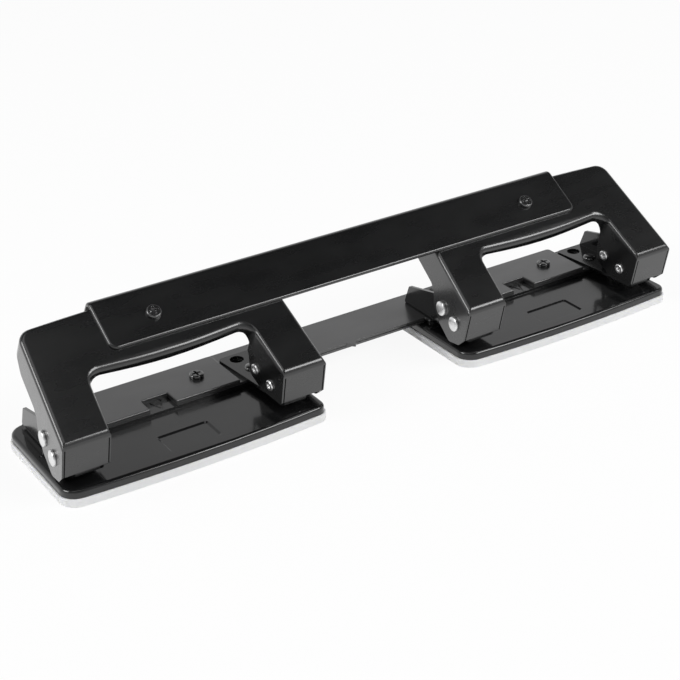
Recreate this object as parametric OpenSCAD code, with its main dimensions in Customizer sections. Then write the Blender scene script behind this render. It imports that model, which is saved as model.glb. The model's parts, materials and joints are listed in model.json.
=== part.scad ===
// Four-hole paper punch: two two-hole punch units joined by a rail and one long handle bar.
// X runs along the punch, Y runs from the paper side to the back, Z is up.
// The origin is on the table, midway between the units and midway between the trays' edges.

/* [Hole layout] */
// Distance between neighbouring punched holes
hole_pitch = 80; // [76:0.5:90]
// Distance from the paper's edge to the hole centres
paper_margin = 11; // [10:0.5:13]
// Diameter of the punch pins
pin_d = 5.5; // [4.5:0.1:6]

/* [Base] */
// How far the base stands out past the brackets on each side
base_margin = 4.6; // [4.3:0.1:8]
// Depth of one pressed base
base_d = 52.5; // [51:0.1:58]
// How far the front edge bows forward in the middle
front_bow = 1.5; // [0.5:0.1:3]
// Radius of the base's corners in plan
base_corner_r = 6.3; // [4:0.1:8]
// Radius of its front right corner in plan
base_nose_r = 4; // [3:0.1:6]
// Radius pressed along the base's top edge
base_edge_r = 1.2; // [1:0.1:2]
// Height of the base's skirt, from the tray to the deck
skirt_h = 3; // [2.6:0.1:5]
// Height of the raised step behind the paper
step_h = 1.2; // [0.8:0.1:2]
// Sheet thickness of the base
base_sheet = 1.2; // [0.8:0.1:1.4]
// Width of the pressed panel in the deck
panel_w = 19.4; // [14:0.1:24]
// Depth from front to back of the pressed panel
panel_d = 11.2; // [8:0.1:13]
// How deep the panel is pressed
panel_drop = 0.5; // [0.3:0.1:0.6]

/* [Chip tray] */
// Height of the tray below the base
tray_h = 3; // [2.5:0.1:6]
// Thickness of the tray's floor
tray_floor = 0.8; // [0.6:0.1:1.4]
// Thickness of the tray's upright lip
tray_lip = 1; // [0.7:0.1:1.5]
// How far the tray stands out past the base
tray_outset = 0.6; // [0:0.1:1.2]

/* [Rail and cover plates] */
// Sheet thickness of the rail
rail_sheet = 1; // [0.8:0.1:1.5]
// Width of the rail
rail_w = 23.8; // [22:0.1:25]
// How far the rail's front edge lies behind the paper stop between the units
rail_setback = 2.8; // [2:0.1:4]
// Width of the pointed tab at the middle of the rail
rail_tab_w = 5; // [3:0.5:8]
// Sheet thickness of the cover plates
plate_sheet = 1; // [0.8:0.1:1.5]
// Width of a cover plate
plate_w = 61.6; // [50:0.1:62]
// Depth of a cover plate
plate_d = 22.4; // [20:0.1:23]
// How far the plate's edge is set back from the paper stop
plate_setback = 0.1; // [0:0.1:1.2]
// Width of the centring notch
notch_w = 10.4; // [8:0.1:14]
// Depth of the centring notch
notch_d = 7.2; // [5:0.1:9]
// Width of the pointer pressed into the base inside the notch
pointer_w = 5; // [3:0.1:6]
// Depth to which the pointer is pressed
pointer_drop = 0.3; // [0.2:0.1:0.5]

/* [Punch heads] */
// Sheet thickness of the brackets
bracket_sheet = 1.2; // [1:0.1:1.3]
// Height of the fulcrum above the deck
fulcrum_h = 9.6; // [9.4:0.1:10.5]
// Distance from the fulcrum back to the punch pins
pin_back = 8.6; // [8.2:0.1:9.2]
// Height of the drive rivet above the fulcrum
drive_rise = 2.8; // [2.4:0.1:3.2]
// Diameter of the rivets' shanks
rivet_d = 3; // [2.4:0.1:3]
// Distance of the fulcrum behind the base's front edge
fulcrum_back = 10.3; // [9.8:0.1:11]
// Gap inside the bracket outward of the pin's axis
wall_out = 3.9; // [3.75:0.05:4]
// Gap inside the bracket inward of the pin's axis
wall_in = 5; // [4:0.1:5.6]
// Length of the bracket's foot behind the fulcrum
foot_back = 37.6; // [35:0.1:40]
// Diameter of the open hole in the foot
foot_hole_d = 5.2; // [4:0.1:6]
// Diameter of the return springs' wire
wire_d = 0.5; // [0.4:0.05:0.6]
// Number of turns of a return spring
spring_turns = 3.5; // [3:0.5:4]

/* [Lever] */
// Sheet thickness of the levers
lever_sheet = 1.2; // [0.9:0.1:1.3]
// Slope of the lever's top at rest, in degrees
slope = 32.3; // [30:0.1:34]
// How far the lever's front corners stand out past the brackets
lever_margin = 4.1; // [3.9:0.1:4.2]
// How much each side leans inward towards the back, in degrees
taper = 4.3; // [3:0.1:4.5]
// Length of the lever's top along the slope
lever_len = 46.2; // [45:0.1:49]
// Distance from the fulcrum up to the lever's top face
top_clear = 12.3; // [12:0.1:13]
// Distance from the fulcrum forward to the front face
front_clear = 7.2; // [7:0.1:8]
// Lean of the front face from upright, in degrees
front_lean = 13.6; // [11:0.1:15]
// Gap between an arm's inner wall and the bracket, at the lever's front edge
arm_gap = 0.5; // [0.45:0.05:1]
// Depth of the channel along the handle
channel_h = 12.7; // [10:0.1:13]
// Depth of the flange along the lever's back
back_flange = 8; // [5:0.1:9]
// Radius of the lever's bends
bend_r = 1.6; // [1.3:0.1:2]
// Length along the slope from the front edge to the grip
grip_at = 22.4; // [21:0.1:23]
// Depth of the rolled edge of the grip
grip_flange = 3.2; // [2.5:0.1:4]
// How far the lever swings down, in degrees
lever_travel = 26; // [20:1:26]

/* [Handle bar] */
// Length of the handle bar
bar_l = 199; // [180:1:204]
// Sheet thickness of the handle bar
bar_sheet = 1.2; // [0.9:0.1:1.5]
// Width of the bar's flat, along the slope
bar_flat = 18.3; // [17:0.1:19.5]
// Length of the bar's lip below its back bend
bar_lip = 3.6; // [2:0.1:5]
// Distance from the bar's front edge to its screws
bar_screw_in = 9; // [8:0.1:12]

/* [Screws] */
// Diameter of the screw heads
head_d = 5.4; // [4.6:0.1:6]
// Height of the screw heads
head_h = 1.5; // [1:0.1:2]
// Diameter of the screws' shanks
screw_d = 3; // [2.5:0.1:3]

/* [Hidden] */

$fn = 48;
far = 120;                  // reach of a cutting shape past the part
fit = 0.05;                 // radial clearance of a running fit
loose = 0.2;                // radial clearance of a screw in a plate
nest = 1.3;                 // gap between the bar and the lever's back bend
snug = 0.3;                 // gap between the tray's lip and the base's skirt

// heights
deck_z = tray_h + skirt_h;
step_z = deck_z + step_h;
plate_z = step_z + rail_sheet;
foot_z = plate_z;           // the foot lies on the rail, which leaves the paper slot below it
foot_top = foot_z + bracket_sheet;
plate_top = plate_z + plate_sheet;
fulcrum_z = deck_z + fulcrum_h;
drive_z = fulcrum_z + drive_rise;

// places along Y
overall_d = tray_outset + fulcrum_back + pin_back + paper_margin + rail_w;
front_y = tray_outset - overall_d / 2;
back_y = front_y + base_d;
fulcrum_y = front_y + fulcrum_back;
pin_y = fulcrum_y + pin_back;
stop_y = pin_y + paper_margin;
plate_y = stop_y + plate_setback;

// places along X, measured from a unit's middle
unit_x = hole_pitch;
pin_x = hole_pitch / 2;
wall_out_x = pin_x + wall_out + bracket_sheet;
wall_in_x = pin_x - wall_in - bracket_sheet;
base_w = 2 * (wall_out_x + base_margin);
lever_w = 2 * (wall_out_x + lever_margin);
arm_w = lever_w / 2 - wall_in_x + lever_sheet + arm_gap;
foot_edge_x = plate_w / 2 + 0.5;
foot_hole_x = foot_edge_x + 5.8;
foot_hole_y = fulcrum_y + 33.5;
rivet_x = pin_x - 1.5;
rivet_y = stop_y + 5.5;
plate_screw_x = 19.1;
plate_screw_y = stop_y + 11.4;

// punch pin and its travel
pin_r = pin_d / 2;
rivet_r = rivet_d / 2;
tip_z = foot_z + 0.3;
pin_top = drive_z + 3.1;
pin_travel = pin_back * sin(lever_travel) + drive_rise * (1 - cos(lever_travel));
drive_shift = norm([pin_back, drive_rise]) - pin_back;
clip_h = 0.6;
clip_r = pin_r + 0.9;
clip_z = drive_z - rivet_r - 0.7 - clip_h;
groove_r = pin_r - 0.4;
coil_r = pin_r + 0.3 + wire_d / 2;

// lever: its front top edge, seen from the fulcrum
front_turn = 90 - slope + front_lean;
edge_out = (front_clear - top_clear * cos(front_turn)) / sin(front_turn);
edge_y = -top_clear * sin(slope) - edge_out * cos(slope);
edge_z = top_clear * cos(slope) - edge_out * sin(slope);
front_drop = 13.6;
toe_y = edge_y + front_drop * sin(front_lean);
toe_z = edge_z - front_drop * cos(front_lean);
back_bow = 1;
lever_corner_r = 5;
window_r = 5;
grip_bow = 1.1;
roll_r = 2.6;               // the grip's edge is rolled over this far along the slope
roll_drop = 2;              // and this far down
bar_back_s = lever_len - bend_r + nest;
bar_front_s = bar_back_s - bar_flat;
bar_screw_s = bar_front_s + bar_screw_in;
bar_screw_l = bar_sheet + lever_sheet + 2.6;
bar_corner_r = 3;
rivet_head_r = rivet_r + 1.3;
rivet_tail_r = rivet_r + 0.5;

black = [0.07, 0.07, 0.075];
steel = [0.78, 0.78, 0.8];

// ---------- plain geometry ----------

function along(v) = v / norm(v);

// Points of a round corner of radius r at b, between a and c.
function round_corner(a, b, c, r, steps) =
    let (
        u = along(a - b),
        v = along(c - b),
        half = acos(u * v) / 2,
        o = b + along(u + v) * r / sin(half),
        p = b + u * r / tan(half) - o,
        q = b + v * r / tan(half) - o,
        start = atan2(p.y, p.x),
        turn = (atan2(q.y, q.x) - start + 540) % 360 - 180
    )
    [for (i = [0:steps]) o + r * [cos(start + turn * i / steps), sin(start + turn * i / steps)]];

// An outline from a list of [x, y, radius].
function rounded(list, steps = 6) =
    let (n = len(list))
    [for (i = [0:n - 1])
        let (b = list[i], a = list[(i + n - 1) % n], c = list[(i + 1) % n])
        each b[2] == 0
            ? [[b[0], b[1]]]
            : round_corner([a[0], a[1]], [b[0], b[1]], [c[0], c[1]], b[2], steps)];

// A shallow arc from p to q that bulges by bow on its right-hand side.
function bowed(p, q, bow, steps) =
    let (side = along([q.y - p.y, p.x - q.x]))
    [for (i = [1:steps - 1]) let (t = i / steps) p + (q - p) * t + side * bow * 4 * t * (1 - t)];

module across(x0, x1) {
    // Draws a (y, z) outline between two places along X.
    translate([x0, 0, 0]) rotate([90, 0, 90]) linear_extrude(height = x1 - x0) children();
}

module rod_x(x0, x1, r) {
    translate([x0, 0, 0]) rotate([0, 90, 0]) cylinder(h = x1 - x0, r = r);
}

module round_slot(r, length) {
    // A slot along Y, cut through X.
    for (side = [-1, 1]) translate([0, side * length / 2, 0]) rod_x(-far, far, r);
    translate([-far, -length / 2, -r]) cube([2 * far, length, 2 * r]);
}

module on_units() {
    for (side = [-1, 1]) translate([side * unit_x, 0, 0]) children();
}

// Places a shape drawn for a unit's right-hand head at head k, counted from the left.
module at_head(k) {
    unit = k < 3 ? -1 : 1;
    if (k % 2 == 1) translate([unit * unit_x, 0, 0]) mirror([1, 0, 0]) children();
    if (k % 2 == 0) translate([unit * unit_x, 0, 0]) children();
}

// A closed skin over rings that have equally many points and run round to the left.
module stretched(rings) {
    n = len(rings[0]);
    m = len(rings);
    polyhedron(
        points = [for (ring = rings) each ring],
        faces = concat(
            [[for (j = [0:n - 1]) j]],
            [for (i = [0:m - 2]) for (j = [0:n - 1])
                let (k = (j + 1) % n, a = i * n, b = a + n)
                each [[a + j, b + k, a + k], [a + j, b + j, b + k]]],
            [[for (j = [n - 1:-1:0]) (m - 1) * n + j]]
        )
    );
}

function at_height(outline, z) = [for (p = outline) [p.x, p.y, z]];

// ---------- base ----------

function base_outline(g) =
    let (
        w = base_w / 2 + g,
        f = front_y + front_bow - g,
        r = base_corner_r + g,
        n = base_nose_r + g,
        corners = rounded([[w, f, n], [w, back_y + g, r], [-w, back_y + g, r], [-w, f, r]])
    )
    concat(corners, bowed([-w + r, f], [w - n, f], front_bow, 8));

// A block with the base's outline, drawn in by inset, whose top edge is rounded.
module base_block(inset, z0, z1, r) {
    stretched(concat(
        [at_height(base_outline(-inset), z0)],
        [for (a = [0:22.5:90])
            at_height(base_outline(-inset - r * (1 - cos(a))), z1 - r * (1 - sin(a)))]
    ));
}

function step_outline(inset) =
    let (w = wall_out_x + 0.4 - inset)
    rounded([[w, stop_y + inset, 2], [w, back_y - 1.2 - inset, 4],
             [-w, back_y - 1.2 - inset, 4], [-w, stop_y + inset, 2]], 5);

module base_unit() {
    color(black) difference() {
        union() {
            base_block(0, tray_h, deck_z, base_edge_r);
            translate([0, 0, deck_z - base_sheet]) linear_extrude(height = base_sheet + step_h) {
                polygon(step_outline(0));
            }
        }
        base_block(base_sheet, tray_h - 1, deck_z - base_sheet, base_edge_r - 0.7);
        translate([0, 0, tray_h]) linear_extrude(height = step_z - base_sheet - tray_h) {
            polygon(step_outline(base_sheet));
        }
        deck_panel();
        pointer();
        for (spot = [[39.2, -7.2], [-47, 18.1]]) {
            translate([spot.x, fulcrum_y + spot.y, deck_z - 0.3]) cylinder(h = 1, r1 = 0.2, r2 = 1.2);
        }
        for (side = [-1, 1]) {
            translate([side * pin_x, pin_y, 0]) cylinder(h = far, r = pin_r + fit);
            translate([side * foot_hole_x, foot_hole_y, 0]) cylinder(h = far, r = foot_hole_d / 2);
            translate([side * rivet_x, rivet_y, 0]) cylinder(h = far, r = rivet_r + fit);
        }
        translate([plate_screw_x, plate_screw_y, 0]) cylinder(h = far, r = screw_d / 2 + fit);
    }
}

// Outline of the panel pressed into the deck, grown by g.
function panel_outline(g) =
    let (w = panel_w / 2 + g, y0 = fulcrum_y - 4.6 - g, y1 = fulcrum_y - 4.6 + panel_d + g, r = 1.2 + g)
    rounded([[w, y0, r], [w, y1, r], [-w, y1, r], [-w, y0, r]], 4);

module deck_panel() {
    stretched([
        at_height(panel_outline(-0.6), deck_z - panel_drop),
        at_height(panel_outline(0.1), deck_z),
        at_height(panel_outline(0.6), deck_z + panel_drop)
    ]);
}

module base_left() { translate([-unit_x, 0, 0]) base_unit(); }
module base_right() { translate([unit_x, 0, 0]) base_unit(); }

// ---------- chip tray ----------

module tray_unit() {
    lip_inset = base_sheet + snug;
    lip_h = deck_z - base_sheet - 0.4;
    color([0.93, 0.94, 0.95, 0.6]) difference() {
        union() {
            linear_extrude(height = tray_h) polygon(base_outline(tray_outset));
            linear_extrude(height = lip_h) polygon(base_outline(-lip_inset));
        }
        translate([0, 0, tray_floor]) linear_extrude(height = far) {
            polygon(base_outline(-lip_inset - tray_lip));
        }
    }
}

module tray_left() { translate([-unit_x, 0, 0]) tray_unit(); }
module tray_right() { translate([unit_x, 0, 0]) tray_unit(); }

// ---------- rail and cover plates ----------

module connecting_rail() {
    end_x = unit_x + wall_out_x - 0.6;
    wide_x = unit_x + plate_w / 2 - 4;
    gap_x = unit_x - wall_out_x - 1;
    gap_y = stop_y + rail_setback;
    tail_y = fulcrum_y + foot_back - 0.6;
    rear_y = stop_y + rail_w;
    tab = rail_tab_w / 2;
    color(black) difference() {
        union() {
            translate([0, 0, step_z]) linear_extrude(height = rail_sheet) {
                polygon(rounded([
                    [end_x, stop_y, 1], [end_x, tail_y, 1], [wide_x, tail_y, 1], [wide_x, rear_y, 1],
                    [-wide_x, rear_y, 1], [-wide_x, tail_y, 1], [-end_x, tail_y, 1],
                    [-end_x, stop_y, 1], [-gap_x, stop_y, 0.5], [-gap_x, gap_y, 0.5],
                    [-tab, gap_y, 0], [0, stop_y, 0.3], [tab, gap_y, 0],
                    [gap_x, gap_y, 0.5], [gap_x, stop_y, 0.5]
                ], 4));
            }
            // the front edge between the units, turned under
            across(0.6 - gap_x, gap_x - 0.6) polygon([
                [gap_y - 0.3, plate_z - 1.9], [gap_y + 4, plate_z - 1.9],
                [gap_y + 4, step_z + 0.2], [gap_y + 0.1, step_z + 0.2],
                [gap_y + 0.1, step_z - 0.05], [gap_y - 0.3, step_z - 0.05]
            ]);
        }
        on_units() {
            notch();
            for (side = [-1, 1]) {
                translate([side * foot_hole_x, foot_hole_y, 0]) cylinder(h = far, r = foot_hole_d / 2);
                translate([side * rivet_x, rivet_y, 0]) cylinder(h = far, r = rivet_r + fit);
            }
            translate([plate_screw_x, plate_screw_y, 0]) cylinder(h = far, r = screw_d / 2 + loose);
        }
    }
}

// The centring notch, cut through the rail and the cover plate.
module notch() {
    n = notch_w / 2;
    translate([0, 0, step_z - 0.5]) linear_extrude(height = far) polygon(rounded([
        [n, stop_y - 1, 0], [n, plate_y + notch_d, 0.4], [-n, plate_y + notch_d, 0.4], [-n, stop_y - 1, 0]
    ], 3));
}

// The centring pointer, two grooves pressed into the base inside the notch.
module pointer() {
    half = pointer_w / 2;
    tip = stop_y + 0.5;
    base = plate_y + notch_d;
    translate([0, 0, step_z - pointer_drop]) linear_extrude(height = 1) polygon([
        [0, tip], [half, base], [half - 0.7, base], [0, tip + 1.9], [0.7 - half, base], [-half, base]
    ]);
}

module cover_plate_unit() {
    w = plate_w / 2;
    color(black) difference() {
        translate([0, 0, plate_z]) linear_extrude(height = plate_sheet) polygon(rounded([
            [w, plate_y, 0.4], [w, plate_y + plate_d, 1.5],
            [-w, plate_y + plate_d, 1.5], [-w, plate_y, 0.4]
        ], 3));
        notch();
        translate([plate_screw_x, plate_screw_y, 0]) cylinder(h = far, r = screw_d / 2 + loose);
    }
}

module cover_plate_left() { translate([-unit_x, 0, 0]) cover_plate_unit(); }
module cover_plate_right() { translate([unit_x, 0, 0]) cover_plate_unit(); }

// A pan-head screw with a cross recess, its head's seat at z = 0.
module pan_screw(length) {
    arm = head_d * 0.62;
    difference() {
        union() {
            rotate_extrude() polygon(concat(
                [[0, -length], [screw_d / 2, -length], [screw_d / 2, 0], [head_d / 2, 0]],
                [for (a = [0:15:75]) [head_d / 2 - 0.7 * (1 - cos(a)), head_h - 0.7 + 0.7 * sin(a)]],
                [[0, head_h]]
            ));
        }
        for (turn = [0, 90]) rotate([0, 0, turn]) translate([-arm / 2, -0.4, head_h - 0.8]) {
            cube([arm, 0.8, 1]);
        }
    }
}

module cover_plate_screws() {
    color(black) on_units() translate([plate_screw_x, plate_screw_y, plate_top]) {
        pan_screw(plate_top - deck_z + 1);
    }
}

// ---------- punch heads ----------

// The bracket's side wall: it turns round the fulcrum in front and slopes down behind.
nose_r = front_clear - lever_sheet - 0.5;
foot_front = fulcrum_y - nose_r + 1.9;

function wall_outline(back) =
    let (r = nose_r, top = drive_z + 3.7, fall = tan(12.5))
    rounded([
        [foot_front, foot_z, 0], [fulcrum_y - r, fulcrum_z - 1.5, 3],
        [fulcrum_y - r, fulcrum_z + r, r - 0.4],
        [fulcrum_y + 1, top, 3], [fulcrum_y + 8.5, top, 2],
        [back - 2.8, top - fall * (back - 2.8 - fulcrum_y - 8.5), 0.8],
        [back, foot_top, 0], [back, foot_z, 0]
    ]);

module bracket_unit() {
    w0 = wall_in_x;
    w1 = wall_out_x;
    y0 = foot_front;
    inner_back = pin_y + 3.8;
    color(black) difference() {
        union() {
            // foot: the upper side of the paper slot in front, the fixing behind
            translate([0, 0, foot_z]) linear_extrude(height = bracket_sheet) polygon(rounded([
                [w1, y0, 0], [w1, fulcrum_y + foot_back, 0],
                [foot_edge_x, fulcrum_y + foot_back, 1.5], [w0, fulcrum_y + 10.2, 0], [w0, y0, 0]
            ]));
            across(w1 - bracket_sheet, w1) polygon(wall_outline(fulcrum_y + foot_back));
            across(w0, w0 + bracket_sheet) polygon(wall_outline(inner_back));
        }
        // bend radii of the two walls along the foot
        for (edge = [[w0, pin_y], [w1, far]]) translate([edge.x, edge.y - far / 2, foot_z]) {
            rotate([0, 45, 0]) cube([0.6, far, 0.6], center = true);
        }
        translate([0, fulcrum_y, fulcrum_z]) rod_x(0, far, rivet_r + fit + 0.01);
        drive_slot();
        translate([pin_x, pin_y, 0]) cylinder(h = foot_top + 1, r = pin_r + fit);
        translate([foot_hole_x, foot_hole_y, 0]) cylinder(h = foot_top + 1, r = foot_hole_d / 2);
        translate([rivet_x, rivet_y, 0]) cylinder(h = foot_top + 1, r = rivet_r + fit);
    }
}

// The upright slot that lets the drive rivet follow its arc.
module drive_slot() {
    r = rivet_r + 0.15;
    shift = drive_shift + 0.1;
    y0 = pin_y + drive_shift / 2 - shift / 2 - r;
    y1 = y0 + shift + 2 * r;
    z0 = drive_z - pin_travel - r;
    z1 = drive_z + r;
    across(0, far) polygon(rounded([[y0, z0, r], [y1, z0, r], [y1, z1, r], [y0, z1, r]]));
}

module head_bracket_1() { at_head(1) bracket_unit(); }
module head_bracket_2() { at_head(2) bracket_unit(); }
module head_bracket_3() { at_head(3) bracket_unit(); }
module head_bracket_4() { at_head(4) bracket_unit(); }

// Solid rivets that hold a bracket's foot, the rail and the base together.
module bracket_rivets() {
    under = step_z - base_sheet;
    for (k = [1:4]) color(black) at_head(k) translate([rivet_x, rivet_y, 0]) rotate_extrude() polygon([
        [0, under - 0.8], [rivet_r + 0.6, under - 0.8], [rivet_r + 0.9, under],
        [rivet_r, under], [rivet_r, foot_top], [rivet_r + 1.2, foot_top],
        [rivet_r + 0.8, foot_top + 0.7], [rivet_r, foot_top + 1], [0, foot_top + 1]
    ]);
}

module punch_pin_unit() {
    notch = 1.1;
    color(steel) translate([pin_x, pin_y, 0]) difference() {
        translate([0, 0, tip_z]) cylinder(h = pin_top - tip_z, r = pin_r);
        // shear angle: the tip is cut to a shallow V so that it enters the paper gradually
        translate([0, 0, tip_z]) across(-far, far) {
            polygon([[-pin_r - 0.1, -0.1], [0, notch], [pin_r + 0.1, -0.1]]);
        }
        // eye for the drive rivet, with room for the rivet's arc
        translate([0, drive_shift / 2, drive_z]) round_slot(rivet_r + 0.08, drive_shift + 0.04);
        translate([0, 0, clip_z - 0.03]) difference() {
            cylinder(h = clip_h + 0.06, r = pin_r + 1);
            translate([0, 0, -1]) cylinder(h = clip_h + 2, r = groove_r);
        }
        // chamfer round the head
        translate([0, 0, pin_top - 0.6]) difference() {
            cylinder(h = 1, r = pin_r + 1);
            cylinder(h = 1, r1 = pin_r, r2 = pin_r - 1);
        }
    }
}

module punch_pin_1() { at_head(1) punch_pin_unit(); }
module punch_pin_2() { at_head(2) punch_pin_unit(); }
module punch_pin_3() { at_head(3) punch_pin_unit(); }
module punch_pin_4() { at_head(4) punch_pin_unit(); }

// A spring clip that snaps into the pin's groove; its mouth faces the back.
module clip_unit() {
    color([0.55, 0.56, 0.58]) translate([pin_x, pin_y, clip_z]) difference() {
        cylinder(h = clip_h, r = clip_r);
        translate([0, 0, -1]) cylinder(h = clip_h + 2, r = groove_r + 0.03);
        translate([-groove_r * 0.8, 0, -1]) cube([groove_r * 1.6, far, clip_h + 2]);
    }
}

module retaining_clip_1() { at_head(1) clip_unit(); }
module retaining_clip_2() { at_head(2) clip_unit(); }
module retaining_clip_3() { at_head(3) clip_unit(); }
module retaining_clip_4() { at_head(4) clip_unit(); }

// Return spring: one wire wound round the pin, from the foot up to the clip.
spring_rings = 8;
spring_sides = 6;
spring_low = foot_top + wire_d / 2;
spring_high = clip_z - wire_d / 2;
spring_last = ceil(spring_turns * spring_rings);

function spring_line(i) =
    let (t = i / spring_last, a = 360 * spring_turns * t)
    [coil_r * cos(a), coil_r * sin(a), spring_low + (spring_high - spring_low) * t];

spring_gap = min([for (i = [0:spring_last]) for (j = [i + 4:1:spring_last])
    norm(spring_line(i) - spring_line(j))]) - wire_d;
echo(str("return spring, least gap to itself: ", spring_gap, " mm"));

module spring_unit() {
    color(steel) translate([pin_x, pin_y, 0]) stretched(
        [for (i = [0:spring_last]) let (c = spring_line(i), u = along([c.x, c.y]))
            [for (j = [0:spring_sides - 1]) let (b = -360 * j / spring_sides)
                [c.x + u.x * wire_d / 2 * cos(b), c.y + u.y * wire_d / 2 * cos(b),
                 c.z + wire_d / 2 * sin(b)]]]
    );
}

module return_spring_1() { at_head(1) spring_unit(); }
module return_spring_2() { at_head(2) spring_unit(); }
module return_spring_3() { at_head(3) spring_unit(); }
module return_spring_4() { at_head(4) spring_unit(); }

// ---------- lever ----------

// Carries a shape from the lever's own frame: X across, Y up the slope, Z square to the top.
module on_lever() {
    translate([0, fulcrum_y + edge_y, fulcrum_z + edge_z]) rotate([slope, 0, 0]) children();
}

function side_x(s) = lever_w / 2 - tan(taper) * s;

// Plan of the lever's top, grown by g; it runs on in front, where the front face trims it.
function lever_plan(g) =
    let (
        s0 = -14,
        s1 = lever_len - back_bow + g,
        x0 = side_x(s0) + g / cos(taper),
        x1 = side_x(s1) + g / cos(taper),
        r = lever_corner_r + g,
        back = rounded([[x0, s0, 0], [x1, s1, r], [-x1, s1, r], [-x0, s0, 0]]),
        half = len(back) / 2
    )
    concat(
        [for (i = [0:half - 1]) back[i]],
        bowed([x1 - r, s1], [-x1 + r, s1], back_bow, 8),
        [for (i = [half:len(back) - 1]) back[i]]
    );

// The lever's bulk, drawn in by inset, with its upper edges bent to radius r.
module lever_bulk(inset, r) {
    stretched(concat(
        [at_height(lever_plan(-inset), -30)],
        [for (a = [0:22.5:90])
            at_height(lever_plan(-inset - r * (1 - cos(a))), -inset - r * (1 - sin(a)))]
    ));
}

// Side view of the lever's outer walls, in (y, z) from the fulcrum.
function slope_point(s, n) =
    [edge_y + s * cos(slope) - n * sin(slope), edge_z + s * sin(slope) + n * cos(slope)];

function side_outline() =
    let (
        tail = slope_point(lever_len + 1, 2),
        tail_low = slope_point(lever_len + 1, -back_flange),
        heel = slope_point(lever_len - 3, -back_flange),
        run = slope_point(lever_len - 10, -channel_h),
        throat = slope_point(grip_at + 0.6, -channel_h),
        front = slope_point(0, 0)
    )
    rounded([
        [front.x, front.y, bend_r], [toe_y, toe_z, 0.6], [-3.2, -7.4, 2], [3.4, -8.6, 2.5],
        [10.6, -3.6, 2.5], [14.6, 2.4, 3], [14.8, 7.2, 2], [throat.x, throat.y, 2],
        [run.x, run.y, 4], [heel.x, heel.y, 2], [tail_low.x, tail_low.y, 0], [tail.x, tail.y, 0],
        [slope_point(2, 2).x, slope_point(2, 2).y, 0], [slope_point(2, 0).x, slope_point(2, 0).y, 0]
    ], 5);

// The hollow under the sheet, open below.
function hollow_outline() =
    let (
        t = lever_sheet,
        top_front = slope_point(t * tan(front_turn / 2), -t),
        tail = slope_point(lever_len + 1, -t)
    )
    [
        top_front,
        [toe_y + t / cos(front_lean), toe_z],
        [toe_y - t, toe_z],
        [toe_y - t, toe_z - far],
        [tail.x, toe_z - far],
        tail
    ];

// Side view of the flanges round the window, in (y, z) from the fulcrum.
function window_flange_outline() =
    let (
        front = slope_point(-3, 3),
        top = slope_point(grip_at + 9, 3),
        back = slope_point(grip_at + 9, -grip_flange),
        grip = slope_point(grip_at - 0.5, -grip_flange),
        knee = slope_point(grip_at - 3.1, -grip_flange - 4)
    )
    rounded([
        [front.x, front.y, 0], [toe_y - 3, toe_z + 0.1, 0], [5.6, toe_z + 0.1, 2], [12.6, -0.4, 2],
        [12.3, 6, 3], [knee.x, knee.y, 2], [grip.x, grip.y, 2], [back.x, back.y, 0], [top.x, top.y, 0]
    ], 4);

// Plan of the window between the arms, grown by g at the arms and by back_g at the grip.
function window_plan(g, back_g) =
    let (
        s0 = -14,
        s1 = grip_at + back_g,
        x0 = side_x(s0) - arm_w + g,
        x1 = side_x(s1) - arm_w + g,
        r = window_r + g,
        back = rounded([[x0, s0, 0], [x1, s1, r], [-x1, s1, r], [-x0, s0, 0]]),
        half = len(back) / 2
    )
    concat(
        [for (i = [0:half - 1]) back[i]],
        bowed([x1 - r, s1], [-x1 + r, s1], -grip_bow, 8),
        [for (i = [half:len(back) - 1]) back[i]]
    );

// The window's opening, flared at the top to round its edge over.
module window_cut() {
    r = 1.3;
    stretched(concat(
        [at_height(window_plan(0, 0), -40)],
        [for (a = [90:-18:0]) let (out = 1 - sin(a))
            at_height(window_plan(r * out, roll_r * out), -roll_drop * (1 - cos(a)))],
        [at_height(window_plan(r, roll_r), 5)]
    ));
}

module lever_unit() {
    color(black) difference() {
        union() {
            difference() {
                intersection() {
                    on_lever() lever_bulk(0, bend_r);
                    translate([0, fulcrum_y, fulcrum_z]) across(-far, far) polygon(side_outline());
                }
                intersection() {
                    on_lever() lever_bulk(lever_sheet, bend_r - lever_sheet + 0.2);
                    translate([0, fulcrum_y, fulcrum_z]) across(-far, far) polygon(hollow_outline());
                }
            }
            // flanges round the window: the arms' inner walls and the rolled grip
            intersection() {
                on_lever() translate([0, 0, -30]) linear_extrude(height = 30) difference() {
                    polygon(window_plan(lever_sheet, lever_sheet));
                    polygon(window_plan(-1, -1));
                }
                translate([0, fulcrum_y, fulcrum_z]) across(-far, far) intersection() {
                    polygon(window_flange_outline());
                    polygon(side_outline());
                }
            }
        }
        on_lever() window_cut();
        translate([0, fulcrum_y, fulcrum_z]) rod_x(-far, far, rivet_r + fit);
        translate([0, pin_y, drive_z]) rod_x(-far, far, rivet_r + fit);
        on_lever() translate([0, bar_screw_s, -far / 2]) cylinder(h = far, r = screw_d / 2 + fit);
    }
}

module lever_left() { translate([-unit_x, 0, 0]) lever_unit(); }
module lever_right() { translate([unit_x, 0, 0]) lever_unit(); }

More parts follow.
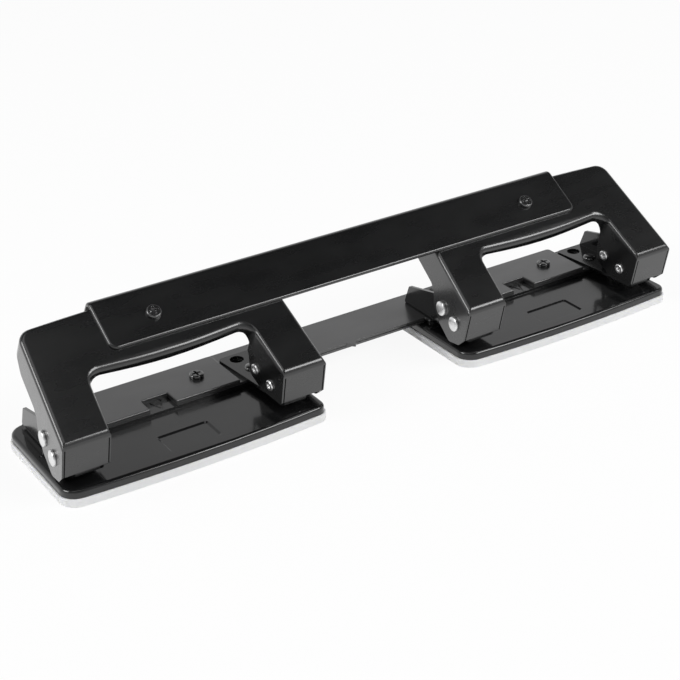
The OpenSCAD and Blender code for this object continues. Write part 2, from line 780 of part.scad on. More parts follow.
// A rivet through one arm, y behind and z above the fulcrum: domed outside, rolled over inside.
module head_rivet(y, z) {
    out_x = side_x((y - edge_y) * cos(slope) + (z - edge_z) * sin(slope));
    in_x = out_x - arm_w;
    dome = 1.4;
    translate([0, fulcrum_y + y, fulcrum_z + z]) {
        rod_x(in_x - 0.1, out_x + 0.1, rivet_r);
        translate([out_x, 0, 0]) rotate([slope, 0, 0]) rotate([0, 0, taper]) rotate([0, 90, 0]) {
            rotate_extrude() polygon(concat(
                [[0, -0.1], [rivet_r - 0.1, -0.1], [rivet_r - 0.1, 0.05], [rivet_head_r, 0.05]],
                [for (a = [0:15:75]) [rivet_head_r * cos(a), 0.8 + (dome - 0.8) * sin(a)]],
                [[0, dome]]
            ));
        }
        translate([in_x, 0, 0]) rotate([slope, 0, 0]) rotate([0, 0, taper]) rotate([0, -90, 0]) {
            rotate_extrude() polygon([
                [0, -0.1], [rivet_r - 0.1, -0.1], [rivet_r - 0.1, 0.05], [rivet_tail_r, 0.05],
                [rivet_tail_r, 0.4], [rivet_tail_r - 0.3, 0.7], [rivet_r - 0.5, 0.7],
                [rivet_r - 0.8, 0.2], [0, 0.2]
            ]);
        }
    }
}

module fulcrum_rivets() {
    color(steel) for (k = [1:4]) at_head(k) head_rivet(0, 0);
}

module drive_rivets() {
    color(steel) for (k = [1:4]) at_head(k) head_rivet(pin_back, drive_rise);
}

// ---------- handle bar ----------

module handle_bar() {
    t = bar_sheet;
    r = bend_r;
    o = [bar_back_s, -r];
    section = concat(
        [[bar_front_s, 0], [bar_back_s, 0]],
        [for (a = [15:15:90]) o + r * [sin(a), cos(a)]],
        [[bar_back_s + r, -r - bar_lip], [bar_back_s + r + t, -r - bar_lip]],
        [for (a = [90:-15:0]) o + (r + t) * [sin(a), cos(a)]],
        [[bar_front_s + 0.3, t], [bar_front_s, t - 0.3]]
    );
    color(black) on_lever() difference() {
        intersection() {
            across(-bar_l / 2, bar_l / 2) polygon(section);
            translate([0, 0, -far / 2]) linear_extrude(height = far) polygon(rounded([
                [bar_l / 2, bar_front_s, bar_corner_r], [bar_l / 2, far, 0],
                [-bar_l / 2, far, 0], [-bar_l / 2, bar_front_s, bar_corner_r]
            ]));
        }
        on_units() translate([0, bar_screw_s, -far / 2]) {
            cylinder(h = far, r = screw_d / 2 + loose);
        }
    }
}

module handle_bar_screws() {
    color(black) on_lever() on_units() translate([0, bar_screw_s, bar_sheet]) pan_screw(bar_screw_l);
}

tray_left();
tray_right();
base_left();
base_right();
connecting_rail();
cover_plate_left();
cover_plate_right();
cover_plate_screws();
head_bracket_1();
head_bracket_2();
head_bracket_3();
head_bracket_4();
bracket_rivets();
punch_pin_1();
punch_pin_2();
punch_pin_3();
punch_pin_4();
retaining_clip_1();
retaining_clip_2();
retaining_clip_3();
retaining_clip_4();
return_spring_1();
return_spring_2();
return_spring_3();
return_spring_4();
lever_left();
lever_right();
fulcrum_rivets();
drive_rivets();
handle_bar();
handle_bar_screws();
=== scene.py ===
import json
import math

import bmesh
import bpy
from mathutils import Matrix, Vector

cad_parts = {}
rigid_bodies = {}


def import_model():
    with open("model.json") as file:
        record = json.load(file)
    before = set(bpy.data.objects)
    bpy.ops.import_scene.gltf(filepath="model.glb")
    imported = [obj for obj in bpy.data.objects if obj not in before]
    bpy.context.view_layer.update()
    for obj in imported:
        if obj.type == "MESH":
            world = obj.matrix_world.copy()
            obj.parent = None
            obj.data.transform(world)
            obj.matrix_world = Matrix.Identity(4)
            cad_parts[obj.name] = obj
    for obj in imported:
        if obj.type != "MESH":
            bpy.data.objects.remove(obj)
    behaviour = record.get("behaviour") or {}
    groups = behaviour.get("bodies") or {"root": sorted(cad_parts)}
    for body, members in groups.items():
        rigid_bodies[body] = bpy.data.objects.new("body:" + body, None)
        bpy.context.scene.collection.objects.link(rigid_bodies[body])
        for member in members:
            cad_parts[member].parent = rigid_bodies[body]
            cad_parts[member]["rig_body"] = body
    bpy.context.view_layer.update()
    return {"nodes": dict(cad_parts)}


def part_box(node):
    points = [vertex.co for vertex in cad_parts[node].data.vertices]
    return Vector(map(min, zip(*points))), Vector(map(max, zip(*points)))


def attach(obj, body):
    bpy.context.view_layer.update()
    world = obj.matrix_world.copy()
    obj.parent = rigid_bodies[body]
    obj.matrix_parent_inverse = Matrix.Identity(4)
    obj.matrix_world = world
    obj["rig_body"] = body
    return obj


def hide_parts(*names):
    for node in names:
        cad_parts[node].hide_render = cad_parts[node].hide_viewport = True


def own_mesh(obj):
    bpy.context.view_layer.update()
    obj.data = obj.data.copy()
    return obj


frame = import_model()
nodes = frame["nodes"]
scene = bpy.context.scene

MM = 0.001
SAME_POINT = 1e-6                 # vertices nearer than this are one
ON_PLANE = 1e-7                   # how near a built vertex lies to the plane it was put on
SAME_FACE = math.radians(0.6)     # faces that turn by less than this are one flat face
SMOOTH_UP_TO = math.radians(38)   # edges that turn by more stay sharp in the shading
ROUND_FROM = math.radians(32)     # edges that turn by more get a rounding
FACING = 0.99                     # part of a unit normal along an axis that counts as facing it

# the plane of the levers' sloping tops and of the bar that lies on them
SLOPE_UP = max(nodes["handle_bar"].data.polygons,
               key=lambda p: p.area * (p.normal.z > 0)).normal.copy()
SLOPE_ALONG = Vector((1, 0, 0)).cross(SLOPE_UP) * -1


# ---------------------------------------------------------------- materials

class Tree:
    """Short calls for building the nodes of a material or of the world."""

    def __init__(self, owner, output):
        owner.use_nodes = True
        self.owner = owner
        self.nt = owner.node_tree
        self.nt.nodes.clear()
        self.out = self.node(output)
        self.coord = self.node("ShaderNodeTexCoord")

    def node(self, kind, **values):
        n = self.nt.nodes.new(kind)
        for key, value in values.items():
            setattr(n, key, value)
        return n

    def link(self, a, b):
        self.nt.links.new(a, b)

    def noise(self, scale, detail, stretch=(1, 1, 1), offset=(0, 0, 0)):
        m = self.node("ShaderNodeMapping")
        m.inputs["Scale"].default_value = stretch
        m.inputs["Location"].default_value = offset
        self.link(self.coord.outputs["Object"], m.inputs["Vector"])
        n = self.node("ShaderNodeTexNoise")
        n.inputs["Scale"].default_value = scale
        n.inputs["Detail"].default_value = detail
        n.inputs["Roughness"].default_value = 0.5
        self.link(m.outputs["Vector"], n.inputs["Vector"])
        return n.outputs["Fac"]

    def remap(self, value, lo, hi, from_lo, from_hi):
        n = self.node("ShaderNodeMapRange")
        n.inputs["From Min"].default_value = from_lo
        n.inputs["From Max"].default_value = from_hi
        n.inputs["To Min"].default_value = lo
        n.inputs["To Max"].default_value = hi
        self.link(value, n.inputs["Value"])
        return n.outputs["Result"]

    def mix(self, fac, a, b):
        n = self.node("ShaderNodeMix", data_type="RGBA")
        color_in = [s for s in n.inputs if s.type == "RGBA"]
        color_in[0].default_value = (*a, 1)
        color_in[1].default_value = (*b, 1)
        self.link(fac, n.inputs["Factor"])
        return [s for s in n.outputs if s.type == "RGBA"][0]

    def bump(self, height, strength, distance, base=None):
        n = self.node("ShaderNodeBump")
        n.inputs["Strength"].default_value = strength
        n.inputs["Distance"].default_value = distance
        self.link(height, n.inputs["Height"])
        if base is not None:
            self.link(base, n.inputs["Normal"])
        return n.outputs["Normal"]

    def surface(self, shader):
        self.link(shader, self.out.inputs["Surface"])
        return self.owner


def material(name):
    return Tree(bpy.data.materials.new(name), "ShaderNodeOutputMaterial")


# how finely the noises run, in cycles per metre, and how far their bumps stand out, in metres
CLOUD, SMEAR = 55, 140
PEEL_FINE, PEEL_FINE_HEIGHT = 2600, 0.00003
PEEL_BROAD, PEEL_BROAD_HEIGHT = 900, 0.00006
METAL_CLOUD, METAL_GRAIN, METAL_GRAIN_HEIGHT = 300, 4000, 0.00002
PLASTIC_CLOUD, PLASTIC_GRAIN, PLASTIC_GRAIN_HEIGHT = 120, 3500, 0.00004

MIDDLE = (0.3, 0.7)        # the part of a noise's range that a roughness uses in full
CLOUD_MIX = (0.35, 0.7)    # how far an enamel's cloud goes from its dark to its pale colour
BROAD_SHARE = 0.6          # strength of the broad orange peel against the fine one
METAL_LOW = 0.86           # a metal's darkest tone against its palest


def enamel(name, dark, pale, rough, peel, coat, coat_rough, ior=1.5):
    """Stoved enamel on sheet steel: orange peel, faint cloudiness, a little wear in the gloss."""
    t = material(name)
    p = t.node("ShaderNodeBsdfPrincipled")
    cloud = t.noise(CLOUD, 4)
    t.link(t.mix(t.remap(cloud, 0, 1, *CLOUD_MIX), dark, pale), p.inputs["Base Color"])
    smear = t.noise(SMEAR, 3, stretch=(0.35, 1, 1), offset=(0.3, 0.1, 0))
    t.link(t.remap(smear, *rough, *MIDDLE), p.inputs["Roughness"])
    p.inputs["IOR"].default_value = ior
    p.inputs["Coat Weight"].default_value = coat
    p.inputs["Coat Roughness"].default_value = coat_rough
    fine = t.noise(PEEL_FINE, 2)
    broad = t.noise(PEEL_BROAD, 1, offset=(0.7, 0.2, 0.4))
    fine_bump = t.bump(fine, peel, PEEL_FINE_HEIGHT)
    both = t.bump(broad, peel * BROAD_SHARE, PEEL_BROAD_HEIGHT, fine_bump)
    t.link(both, p.inputs["Normal"])
    return t.surface(p.outputs["BSDF"])


def metal(name, tone, rough, grain, stretch=(1, 1, 1)):
    """Bare or plated steel with a fine grain, which a stretch gives a direction."""
    t = material(name)
    p = t.node("ShaderNodeBsdfPrincipled")
    p.inputs["Metallic"].default_value = 1.0
    cloud = t.noise(METAL_CLOUD, 3)
    low = tuple(c * METAL_LOW for c in tone)
    t.link(t.mix(cloud, low, tone), p.inputs["Base Color"])
    line = t.noise(METAL_GRAIN, 2, stretch=stretch)
    t.link(t.remap(line, *rough, *MIDDLE), p.inputs["Roughness"])
    t.link(t.bump(line, grain, METAL_GRAIN_HEIGHT), p.inputs["Normal"])
    return t.surface(p.outputs["BSDF"])


def frosted(name):
    """Milky, slightly translucent moulded plastic with a fine spark-eroded texture."""
    t = material(name)
    p = t.node("ShaderNodeBsdfPrincipled")
    cloud = t.noise(PLASTIC_CLOUD, 3)
    t.link(t.mix(cloud, (0.92, 0.93, 0.94), (0.95, 0.955, 0.96)), p.inputs["Base Color"])
    p.inputs["Roughness"].default_value = 0.42
    p.inputs["Subsurface Weight"].default_value = 0.35
    p.inputs["Subsurface Radius"].default_value = (0.004, 0.004, 0.0045)
    p.inputs["Transmission Weight"].default_value = 0.12
    p.inputs["IOR"].default_value = 1.49
    fine = t.noise(PLASTIC_GRAIN, 2)
    t.link(t.bump(fine, 0.25, PLASTIC_GRAIN_HEIGHT), p.inputs["Normal"])
    return t.surface(p.outputs["BSDF"])


MATS = {
    "lever_enamel": enamel("lever_enamel", (0.0050, 0.0052, 0.0054), (0.0075, 0.0077, 0.0080),
                           rough=(0.25, 0.31), peel=0.08, coat=0.7, coat_rough=0.14),
    "base_enamel": enamel("base_enamel", (0.0065, 0.0067, 0.007), (0.0095, 0.0097, 0.010),
                          rough=(0.14, 0.20), peel=0.06, coat=0.3, coat_rough=0.08),
    "plate_enamel": enamel("plate_enamel", (0.019, 0.0192, 0.0196), (0.025, 0.0252, 0.0257),
                           rough=(0.28, 0.36), peel=0.10, coat=0.6, coat_rough=0.20, ior=1.8),
    "screw_black": enamel("screw_black", (0.010, 0.010, 0.0105), (0.016, 0.016, 0.0165),
                          rough=(0.16, 0.24), peel=0.04, coat=0.6, coat_rough=0.10, ior=1.9),
    "rivet_chrome": metal("rivet_chrome", (0.90, 0.90, 0.90), rough=(0.32, 0.40), grain=0.0),
    "pin_steel": metal("pin_steel", (0.62, 0.62, 0.63), rough=(0.18, 0.30), grain=0.12,
                       stretch=(1, 1, 0.05)),
    "spring_steel": metal("spring_steel", (0.55, 0.56, 0.58), rough=(0.22, 0.34), grain=0.10),
    "tray_plastic": frosted("tray_plastic"),
}


# ---------------------------------------------------------------- helpers for pieces

def add_object(name, mesh):
    obj = bpy.data.objects.new(name, mesh)
    scene.collection.objects.link(obj)
    return obj


def look_from(bm, node, slot):
    """The object that a finished bmesh makes, in the material of its slot."""
    mesh = bpy.data.meshes.new("look_" + node)
    bm.to_mesh(mesh)
    bm.free()
    mesh.materials.append(MATS[slot])
    return add_object("look_" + node, mesh)


def take_place(obj, node):
    """The piece moves with the node's body and stands in for the node."""
    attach(obj, nodes[node]["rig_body"])
    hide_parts(node)


def settle(obj):
    """Apply the object's modifiers to its mesh."""
    deps = bpy.context.evaluated_depsgraph_get()
    done = bpy.data.meshes.new_from_object(obj.evaluated_get(deps))
    obj.modifiers.clear()
    obj.data = done
    done.name = obj.name


def shade(obj, flat=True):
    """Smooth shading up to an angle, with the flat faces kept flat."""
    for poly in obj.data.polygons:
        poly.use_smooth = True
    obj.data.set_sharp_from_angle(angle=SMOOTH_UP_TO)
    if flat:
        mod = obj.modifiers.new("flat", "WEIGHTED_NORMAL")
        mod.keep_sharp = True
        mod.weight = 100
        settle(obj)


def round_edges(bm, edges, radius, segments, clamp=True):
    bmesh.ops.bevel(bm, geom=edges, offset=radius, offset_type="OFFSET", segments=segments,
                    profile=0.5, affect="EDGES", clamp_overlap=clamp)


# ---------------------------------------------------------------- lever fronts and rail rim

FRONT_AREA = 40e-6   # square metres: each of a lever's front faces is larger
# the open joints of the fold, in mm
SEAM_INSET = {-1: 0.85, 1: 0.6}   # from the left and from the right edge of the front face
SEAM_HALF_WIDTH = 0.22
SEAM_OUT, SEAM_IN = 0.6, -0.8     # reach off the face and into it
SEAM_START = 0.8                  # below the upper end of the face
SEAM_OVERRUN = 1.0                # past its lower end
END_REACH = 0.5                   # vertices this near to an end's height belong to that end
BOX_QUADS = ((0, 1, 2, 3), (7, 6, 5, 4), (0, 4, 5, 1), (1, 5, 6, 2), (2, 6, 7, 3), (3, 7, 4, 0))


def faces_front(face):
    """True for the faces in the plane of a lever's front, which leans a little forward."""
    return face.normal.y < -0.9 and -0.3 < face.normal.z < -0.2


def front_seams(bm):
    """Thin boxes where a lever's front faces meet its side walls: the open joints of the fold."""
    fronts = [f for f in bm.faces if faces_front(f) and f.calc_area() > FRONT_AREA]
    cutters = bmesh.new()
    across = Vector((SEAM_HALF_WIDTH * MM, 0, 0))
    for f in fronts:
        zs = [v.co.z for v in f.verts]
        for side in (-1, 1):
            ends = []
            for z_end in (max(zs), min(zs)):
                near = [v.co for v in f.verts if abs(v.co.z - z_end) < END_REACH * MM]
                ends.append(max(near, key=lambda c: side * c.x).copy())
            hi, lo = ends
            for p in (hi, lo):
                p.x -= side * SEAM_INSET[side] * MM
            down = (lo - hi).normalized()
            lo += down * SEAM_OVERRUN * MM
            hi += down * SEAM_START * MM
            corners = []
            for p in (hi, lo):
                for sx, d in ((-1, SEAM_OUT), (1, SEAM_OUT), (1, SEAM_IN), (-1, SEAM_IN)):
                    corners.append(cutters.verts.new(p + across * sx + f.normal * d * MM))
            for quad in BOX_QUADS:
                cutters.faces.new([corners[i] for i in quad])
    bmesh.ops.recalc_face_normals(cutters, faces=cutters.faces)
    mesh = bpy.data.meshes.new("seam_cutter")
    cutters.to_mesh(mesh)
    cutters.free()
    return add_object("seam_cutter", mesh)


BEND_NOW, BEND_WIDE = 1.6 * MM, 2.6 * MM   # outer radius in the CAD, and as it shows
BEND_CUTS = (0.55, 0.7, 0.85, 1.0)         # where the flat faces are cut, to follow the bend
BEND_DEPTH = 1.0 * MM                      # below the skin, where the shift has faded to nothing
BEND_PROUD = 0.2 * MM                      # above the skin, beyond which nothing is moved


def soften_front_bend(bm):
    """Open the bend between a lever's sloping top and its front faces, as pressing leaves it.

    All in the YZ plane: the skin's line moves from one arc out to a wider one about the same faces.
    """
    n1 = Vector((SLOPE_UP.y, SLOPE_UP.z))
    front = max((f for f in bm.faces if faces_front(f)), key=lambda f: f.calc_area())
    n2 = Vector((front.normal.y, front.normal.z)).normalized()
    d1 = max(Vector(v.co.yz).dot(n1) for v in bm.verts)
    d2 = Vector(front.verts[0].co.yz).dot(n2)
    det = n1.x * n2.y - n1.y * n2.x

    def meet(a, b):
        """The point at distance a along n1 and b along n2."""
        return Vector(((a * n2.y - b * n1.y) / det, (n1.x * b - n2.x * a) / det))

    centre = meet(d1 - BEND_WIDE, d2 - BEND_WIDE)
    to_inner = meet(d1 - BEND_NOW, d2 - BEND_NOW) - centre
    corner = meet(d1, d2)
    half = 0.5 * n1.angle(n2)
    mid = (n1 + n2).normalized()
    for normal in (n1, n2):
        away = Vector((-normal.y, normal.x))
        if away.dot(mid) > 0:
            away = -away
        for share in BEND_CUTS:
            at = corner + away * (BEND_WIDE * math.tan(half) * share)
            bmesh.ops.bisect_plane(bm, geom=list(bm.verts) + list(bm.edges) + list(bm.faces),
                                   plane_co=(0, at.x, at.y), plane_no=(0, away.x, away.y),
                                   dist=ON_PLANE)
    for v in bm.verts:
        ray = Vector(v.co.yz) - centre
        if ray.length < SAME_POINT or ray.normalized().dot(mid) < math.cos(half):
            continue
        e = ray.normalized()
        skin = min(BEND_WIDE / e.dot(n1), BEND_WIDE / e.dot(n2))
        b = to_inner.dot(e)
        k = to_inner.length_squared - b * b
        if k < BEND_NOW * BEND_NOW:
            arc = b + math.sqrt(BEND_NOW * BEND_NOW - k)
            if (e * arc - to_inner).dot(mid) >= BEND_NOW * math.cos(half):
                skin = arc
        depth = skin - ray.length
        share = 1 - depth / BEND_DEPTH
        if share <= 0 or depth < -BEND_PROUD:
            continue
        v.co.y, v.co.z = centre + e * (ray.length + (BEND_WIDE - skin) * min(share, 1))
    bm.normal_update()


RAIL_FREE_HALF = 46 * MM   # the rail is free between the units up to this X
RAIL_FRONT_Y = 10 * MM     # its front edge lies before this Y
RAIL_RIM = 0.5 * MM


def round_rail_front(bm):
    """Roll over the upper rim of the rail's free front edge between the units."""
    top = max(v.co.z for v in bm.verts)

    def free(v):
        return (abs(v.co.z - top) < SAME_POINT and abs(v.co.x) < RAIL_FREE_HALF
                and v.co.y < RAIL_FRONT_Y)

    rim = [e for e in bm.edges if len(e.link_faces) == 2 and all(free(v) for v in e.verts)
           and min(abs(f.normal.z) for f in e.link_faces) < 0.1]
    round_edges(bm, rim, RAIL_RIM, 4)
    bm.normal_update()


# ---------------------------------------------------------------- dressed copies of the CAD pieces

def dressed(node, slot, width, flat=True):
    """A copy of a CAD node with its edges broken, as stamping and enamel leave them."""
    mesh = nodes[node].data.copy()
    mesh.name = "look_" + node
    obj = add_object("look_" + node, mesh)
    mesh.materials.clear()
    mesh.materials.append(MATS[slot])
    bm = bmesh.new()
    bm.from_mesh(mesh)
    bmesh.ops.remove_doubles(bm, verts=bm.verts, dist=SAME_POINT)
    bmesh.ops.dissolve_degenerate(bm, edges=bm.edges, dist=2 * SAME_POINT)
    bmesh.ops.dissolve_limit(bm, angle_limit=SAME_FACE, verts=bm.verts, edges=bm.edges)
    bm.normal_update()
    for f in bm.faces:
        f.material_index = 0
        f.smooth = True
    cutter = None
    if node.startswith("lever"):
        cutter = front_seams(bm)
        soften_front_bend(bm)
    if node == "connecting_rail":
        round_rail_front(bm)
    bm.to_mesh(mesh)
    bm.free()
    if cutter:
        mod = obj.modifiers.new("seams", "BOOLEAN")
        mod.operation = "DIFFERENCE"
        mod.solver = "EXACT"
        mod.object = cutter
        settle(obj)
        bpy.data.objects.remove(cutter)
    mod = obj.modifiers.new("edge", "BEVEL")
    mod.width = width
    mod.segments = 2
    mod.limit_method = "ANGLE"
    mod.angle_limit = ROUND_FROM
    mod.harden_normals = False
    mod.use_clamp_overlap = True
    mod.miter_outer = "MITER_ARC"
    settle(obj)
    shade(obj, flat)
    take_place(obj, node)


# each node's slot and the radius of its broken edges, in mm
LOOKS = {
    "lever_left": ("lever_enamel", 0.22), "lever_right": ("lever_enamel", 0.22),
    "handle_bar_screws": ("screw_black", 0.10),
    "base_left": ("base_enamel", 0.18), "base_right": ("base_enamel", 0.18),
    "connecting_rail": ("plate_enamel", 0.15),
    "cover_plate_screws": ("screw_black", 0.10),
    "head_bracket_1": ("base_enamel", 0.16), "head_bracket_2": ("base_enamel", 0.16),
    "head_bracket_3": ("base_enamel", 0.16), "head_bracket_4": ("base_enamel", 0.16),
    "bracket_rivets": ("screw_black", 0.08),
    "fulcrum_rivets": ("rivet_chrome", 0.08), "drive_rivets": ("rivet_chrome", 0.08),
    "tray_left": ("tray_plastic", 0.35), "tray_right": ("tray_plastic", 0.35),
}
for k in range(1, 5):
    LOOKS["punch_pin_%d" % k] = ("pin_steel", 0.06)
    LOOKS["retaining_clip_%d" % k] = ("spring_steel", 0.05)

for name, (slot, width) in LOOKS.items():
    dressed(name, slot, width * MM, flat=not name.endswith("rivets"))


# ---------------------------------------------------------------- cover plates

PLATE_RIM = 0.42 * MM


def top_rings(bm):
    """The closed lines round the upward faces: a piece's outline and the holes in it."""
    nexts = {}
    for f in bm.faces:
        if f.normal.z > FACING:
            for loop in f.loops:
                if loop.link_loop_radial_next.face.normal.z < FACING:
                    nexts[loop.vert.index] = loop.link_loop_next.vert.index
    places = {v.index: v.co.copy() for v in bm.verts}
    rings = []
    while nexts:
        start, here = next(iter(nexts.items()))
        ring = [start]
        del nexts[start]
        while here != start:
            ring.append(here)
            here = nexts.pop(here)
        rings.append([places[i] for i in ring])
    return rings


def length_round(ring):
    return sum((ring[i] - ring[i - 1]).length for i in range(len(ring)))


def cover_plate(name):
    """The plate's own outline as sheared sheet, its upper rim rolled over by the shear.

    The screw's hole is left out, because the head covers it.
    """
    src = bmesh.new()
    src.from_mesh(nodes[name].data)
    bmesh.ops.remove_doubles(src, verts=src.verts, dist=SAME_POINT)
    src.normal_update()
    top = max(v.co.z for v in src.verts)
    low = min(v.co.z for v in src.verts)
    outline = max(top_rings(src), key=length_round)
    src.free()
    bm = bmesh.new()
    rows = [[bm.verts.new((p.x, p.y, z)) for p in outline] for z in (low, top)]
    bm.faces.new(rows[1])
    bm.faces.new(list(reversed(rows[0])))
    for i in range(len(outline)):
        j = (i + 1) % len(outline)
        bm.faces.new((rows[0][i], rows[0][j], rows[1][j], rows[1][i]))
    bmesh.ops.dissolve_limit(bm, angle_limit=SAME_FACE, verts=bm.verts, edges=bm.edges)
    bmesh.ops.recalc_face_normals(bm, faces=bm.faces)
    rim = [e for e in bm.edges if all(abs(v.co.z - top) < ON_PLANE for v in e.verts)]
    round_edges(bm, rim, PLATE_RIM, 4)
    obj = look_from(bm, name, "plate_enamel")
    shade(obj)
    take_place(obj, name)


for name in ("cover_plate_left", "cover_plate_right"):
    cover_plate(name)


# ---------------------------------------------------------------- handle bar

ORDER = Vector((1, math.sqrt(2), math.sqrt(3)))   # along this, no two elements share a place
BAR_SHEET, BAR_BEND, BAR_CORNER = 1.2 * MM, 1.6 * MM, 3.0 * MM   # sheet, inner bend, corner
BAR_TOP_RIM, BAR_UNDER_RIM = 0.85 * MM, 0.2 * MM
CORNER_STEPS, BEND_STEPS = 12, 6


def sort_by_place(bm):
    """Put the elements in an order that is the same on every run, which a spin doesn't leave."""
    bm.verts.sort(key=lambda v: v.co.dot(ORDER))
    bm.edges.sort(key=lambda e: (e.verts[0].co + e.verts[1].co).dot(ORDER))
    bm.faces.sort(key=lambda f: f.calc_center_median().dot(ORDER))


def handle_bar():
    """The bar as pressed sheet: rounded rims and front corners, its back edge bent into a lip.

    It is built flat, with Y along the slope and Z off it, and laid on the slope at the end.
    """
    name = "handle_bar"
    src = nodes[name].data
    along = [v.co.dot(SLOPE_ALONG) for v in src.vertices]
    rise = [v.co.dot(SLOPE_UP) for v in src.vertices]
    half = max(v.co.x for v in src.vertices)
    front, top, low = min(along), max(rise), min(rise)
    back = max(along) - BAR_BEND - BAR_SHEET
    under = top - BAR_SHEET
    bm = bmesh.new()
    outline = [(half, back)]
    for side in (1, -1):
        for i in list(range(CORNER_STEPS + 1))[::side]:
            a = math.radians(90 * i / CORNER_STEPS)
            outline.append((side * (half - BAR_CORNER + BAR_CORNER * math.cos(a)),
                            front + BAR_CORNER - BAR_CORNER * math.sin(a)))
    outline.append((-half, back))
    rows = [[bm.verts.new((x, y, z)) for x, y in outline] for z in (under, top)]
    n = len(outline)
    bm.faces.new(rows[1])
    bm.faces.new(list(reversed(rows[0])))
    for i in range(n):
        j = (i + 1) % n
        bm.faces.new((rows[0][i], rows[1][i], rows[1][j], rows[0][j]))
    bmesh.ops.recalc_face_normals(bm, faces=bm.faces)
    for z, radius, segments in ((top, BAR_TOP_RIM, 6), (under, BAR_UNDER_RIM, 2)):
        rim = [e for e in bm.edges if all(abs(v.co.z - z) < ON_PLANE for v in e.verts)
               and not all(abs(v.co.y - back) < ON_PLANE for v in e.verts)]
        round_edges(bm, rim, radius, segments, clamp=False)
    bm.normal_update()
    end = [f for f in bm.faces if f.normal.y > FACING
           and all(abs(v.co.y - back) < SAME_POINT for v in f.verts)]
    geom = list({v for f in end for v in f.verts}) + list({e for f in end for e in f.edges}) + end
    turned = bmesh.ops.spin(bm, geom=geom, cent=(0, back, under - BAR_BEND), axis=(1, 0, 0),
                            angle=math.radians(-90), steps=BEND_STEPS, use_duplicate=False)
    last = [f for f in turned["geom_last"] if isinstance(f, bmesh.types.BMFace)]
    more = bmesh.ops.extrude_face_region(bm, geom=last)
    for v in (g for g in more["geom"] if isinstance(g, bmesh.types.BMVert)):
        v.co.z -= under - BAR_BEND - low
    inside = [f for f in end + last if f.is_valid]
    bmesh.ops.delete(bm, geom=inside, context="FACES_ONLY")
    bmesh.ops.remove_doubles(bm, verts=bm.verts, dist=ON_PLANE)
    bmesh.ops.recalc_face_normals(bm, faces=bm.faces)
    for v in bm.verts:
        v.co = Vector((v.co.x, 0, 0)) + SLOPE_ALONG * v.co.y + SLOPE_UP * v.co.z
    sort_by_place(bm)
    obj = look_from(bm, name, "lever_enamel")
    shade(obj)
    take_place(obj, name)


handle_bar()


# ---------------------------------------------------------------- return springs

WIRE = 0.5 * MM
TURNS = 3.5
STEPS_PER_TURN = 36
WIRE_SIDES = 12
CAD_WIRE_REACH = 0.433   # how far the CAD's six-sided wire rises over its line, against WIRE


def spring(k):
    """The return spring as a round wire wound on the same line as the CAD solid."""
    node = "return_spring_%d" % k
    lo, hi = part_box(node)
    pin_lo, pin_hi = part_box("punch_pin_%d" % k)
    c = Vector(((pin_lo.x + pin_hi.x) / 2, (pin_lo.y + pin_hi.y) / 2, 0))   # on the pin's axis
    radius = max(hi.x - c.x, c.x - lo.x) - WIRE / 2
    z0, z1 = lo.z + WIRE * CAD_WIRE_REACH, hi.z - WIRE * CAD_WIRE_REACH
    mirror = -1 if k % 2 == 1 else 1   # the odd heads are mirrored
    rings = int(TURNS * STEPS_PER_TURN)
    bm = bmesh.new()
    rows = []
    for i in range(rings + 1):
        t = i / rings
        a = 2 * math.pi * TURNS * t
        u = Vector((mirror * math.cos(a), math.sin(a), 0))
        p = c + u * radius + Vector((0, 0, z0 + (z1 - z0) * t))
        rows.append([bm.verts.new(p + u * (WIRE / 2) * math.cos(b)
                                  + Vector((0, 0, WIRE / 2 * math.sin(b))))
                     for b in (2 * math.pi * j / WIRE_SIDES for j in range(WIRE_SIDES))])
    for i in range(rings):
        for j in range(WIRE_SIDES):
            q = (j + 1) % WIRE_SIDES
            bm.faces.new((rows[i][j], rows[i][q], rows[i + 1][q], rows[i + 1][j]))
    bm.faces.new(rows[0])
    bm.faces.new(list(reversed(rows[-1])))
    bmesh.ops.recalc_face_normals(bm, faces=bm.faces)
    obj = look_from(bm, node, "spring_steel")
    for poly in obj.data.polygons:
        poly.use_smooth = True
    take_place(obj, node)
    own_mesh(obj)


for k in range(1, 5):
    spring(k)


# ---------------------------------------------------------------- floor, light and camera

FLOOR_HALF = 6.0
FLOOR_Z = -0.00005        # just under the trays, so that nothing flickers
FLOOR_WHITE = 0.92        # share of plain white where the floor is seen, mirrored or seen through


def add_floor():
    """A white floor that keeps a little of the object's shadow."""
    mesh = bpy.data.meshes.new("floor")
    bm = bmesh.new()
    s = FLOOR_HALF
    bm.faces.new([bm.verts.new((x, y, FLOOR_Z)) for x, y in ((-s, -s), (s, -s), (s, s), (-s, s))])
    bm.to_mesh(mesh)
    bm.free()
    obj = add_object("floor", mesh)
    t = material("floor_white")
    matt = t.node("ShaderNodeBsdfDiffuse")
    matt.inputs["Color"].default_value = (0.92, 0.92, 0.92, 1)
    glow = t.node("ShaderNodeEmission")
    glow.inputs["Color"].default_value = (1, 1, 1, 1)
    glow.inputs["Strength"].default_value = 1.0
    path = t.node("ShaderNodeLightPath")
    seen = path.outputs["Is Camera Ray"]
    for ray in ("Is Glossy Ray", "Is Transmission Ray"):
        either = t.node("ShaderNodeMath", operation="MAXIMUM")
        t.link(seen, either.inputs[0])
        t.link(path.outputs[ray], either.inputs[1])
        seen = either.outputs[0]
    share = t.node("ShaderNodeMath", operation="MULTIPLY")
    t.link(seen, share.inputs[0])
    share.inputs[1].default_value = FLOOR_WHITE
    mix = t.node("ShaderNodeMixShader")
    t.link(share.outputs[0], mix.inputs["Fac"])
    t.link(matt.outputs["BSDF"], mix.inputs[1])
    t.link(glow.outputs["Emission"], mix.inputs[2])
    mesh.materials.append(t.surface(mix.outputs["Shader"]))


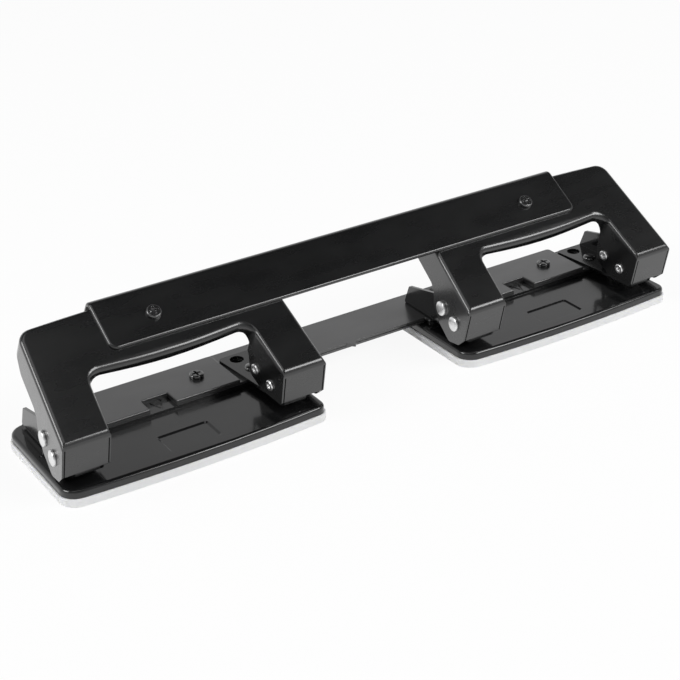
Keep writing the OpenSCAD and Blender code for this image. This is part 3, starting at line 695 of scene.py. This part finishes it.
# the room by the sine of the height: pale low down, dark from 46 degrees up
ROOM = ((0.0, (0.85, 0.85, 0.85)), (0.3, (0.72, 0.72, 0.73)), (0.5, (0.62, 0.62, 0.62)),
        (0.62, (0.36, 0.36, 0.36)), (0.72, (0.04, 0.04, 0.04)), (0.88, (0.005, 0.005, 0.005)),
        (1.0, (0.005, 0.005, 0.005)))
ROOM_FRONT = 0.7             # strength in front of the object, against 1 behind it
ROOM_TURN = (-0.15, 0.35)    # a direction's Y, from fully in front to fully behind


def add_world():
    """White to the camera; in reflections a pale room, a little dimmer in front, dark overhead."""
    scene.world = bpy.data.worlds.new("studio")
    t = Tree(scene.world, "ShaderNodeOutputWorld")
    way = t.node("ShaderNodeSeparateXYZ")
    t.link(t.coord.outputs["Generated"], way.inputs[0])
    ramp = t.node("ShaderNodeValToRGB")
    stops = ramp.color_ramp.elements
    for i, (place, colour) in enumerate(ROOM):
        stop = stops[i] if i < 2 else stops.new(place)   # a new ramp already has two stops
        stop.position = place
        stop.color = (*colour, 1)
    t.link(way.outputs["Z"], ramp.inputs["Fac"])
    behind = t.node("ShaderNodeMapRange", interpolation_type="SMOOTHSTEP")
    behind.inputs["From Min"].default_value = ROOM_TURN[0]
    behind.inputs["From Max"].default_value = ROOM_TURN[1]
    behind.inputs["To Min"].default_value = ROOM_FRONT
    t.link(way.outputs["Y"], behind.inputs["Value"])
    room = t.node("ShaderNodeBackground")
    t.link(ramp.outputs["Color"], room.inputs["Color"])
    t.link(behind.outputs["Result"], room.inputs["Strength"])
    white = t.node("ShaderNodeBackground")
    white.inputs["Color"].default_value = (1, 1, 1, 1)
    path = t.node("ShaderNodeLightPath")
    mix = t.node("ShaderNodeMixShader")
    t.link(path.outputs["Is Camera Ray"], mix.inputs["Fac"])
    t.link(room.outputs["Background"], mix.inputs[1])
    t.link(white.outputs["Background"], mix.inputs[2])
    t.surface(mix.outputs["Shader"])


# softboxes: place, size in metres, watts
LAMPS = {
    "key": ((-0.30, -0.05, 1.3), (1.0, 1.0), 3.5),
    "left": ((-1.10, 0.17, 0.81), (0.62, 0.50), 6.8),
    "front": ((0.66, -0.79, 0.95), (0.8, 0.5), 10),
}
LAMP_AIM = Vector((0, 0, 0.02))


def add_lamp(name, place, size, watts):
    data = bpy.data.lights.new(name, "AREA")
    data.shape = "RECTANGLE"
    data.size, data.size_y = size
    data.energy = watts
    obj = add_object(name, data)
    obj.location = place
    obj.rotation_euler = (LAMP_AIM - Vector(place)).to_track_quat("-Z", "Y").to_euler()


# the photograph's camera, fitted on the two units' known spacing
CAMERA_PLACE = Vector((-0.27496, -0.42524, 0.27879))
CAMERA_AHEAD = Vector((0.47094, 0.74819, -0.46737))
LEVEL_RIGHT = Vector((0.8463, -0.5327, 0.0))
LEVEL_DOWN = Vector((-0.24897, -0.39553, -0.88406))
ROLL_COS, ROLL_SIN = 0.99955, 0.03001


def add_camera():
    """The photograph's viewpoint: the level axes rolled by 1.7 degrees."""
    data = bpy.data.cameras.new("camera")
    data.sensor_width = 36.0
    data.lens = 82.02
    data.shift_x = -0.0057
    data.shift_y = 0.0021
    data.clip_start = 0.01
    data.clip_end = 50
    obj = add_object("camera", data)
    right = LEVEL_RIGHT * ROLL_COS + LEVEL_DOWN * ROLL_SIN
    down = LEVEL_RIGHT * -ROLL_SIN + LEVEL_DOWN * ROLL_COS
    m = Matrix((right, -down, -CAMERA_AHEAD)).transposed().to_4x4()
    m.translation = CAMERA_PLACE
    obj.matrix_world = m
    scene.camera = obj


add_floor()
add_world()
for name, (place, size, watts) in LAMPS.items():
    add_lamp(name, place, size, watts)
add_camera()
scene.view_settings.view_transform = "Standard"
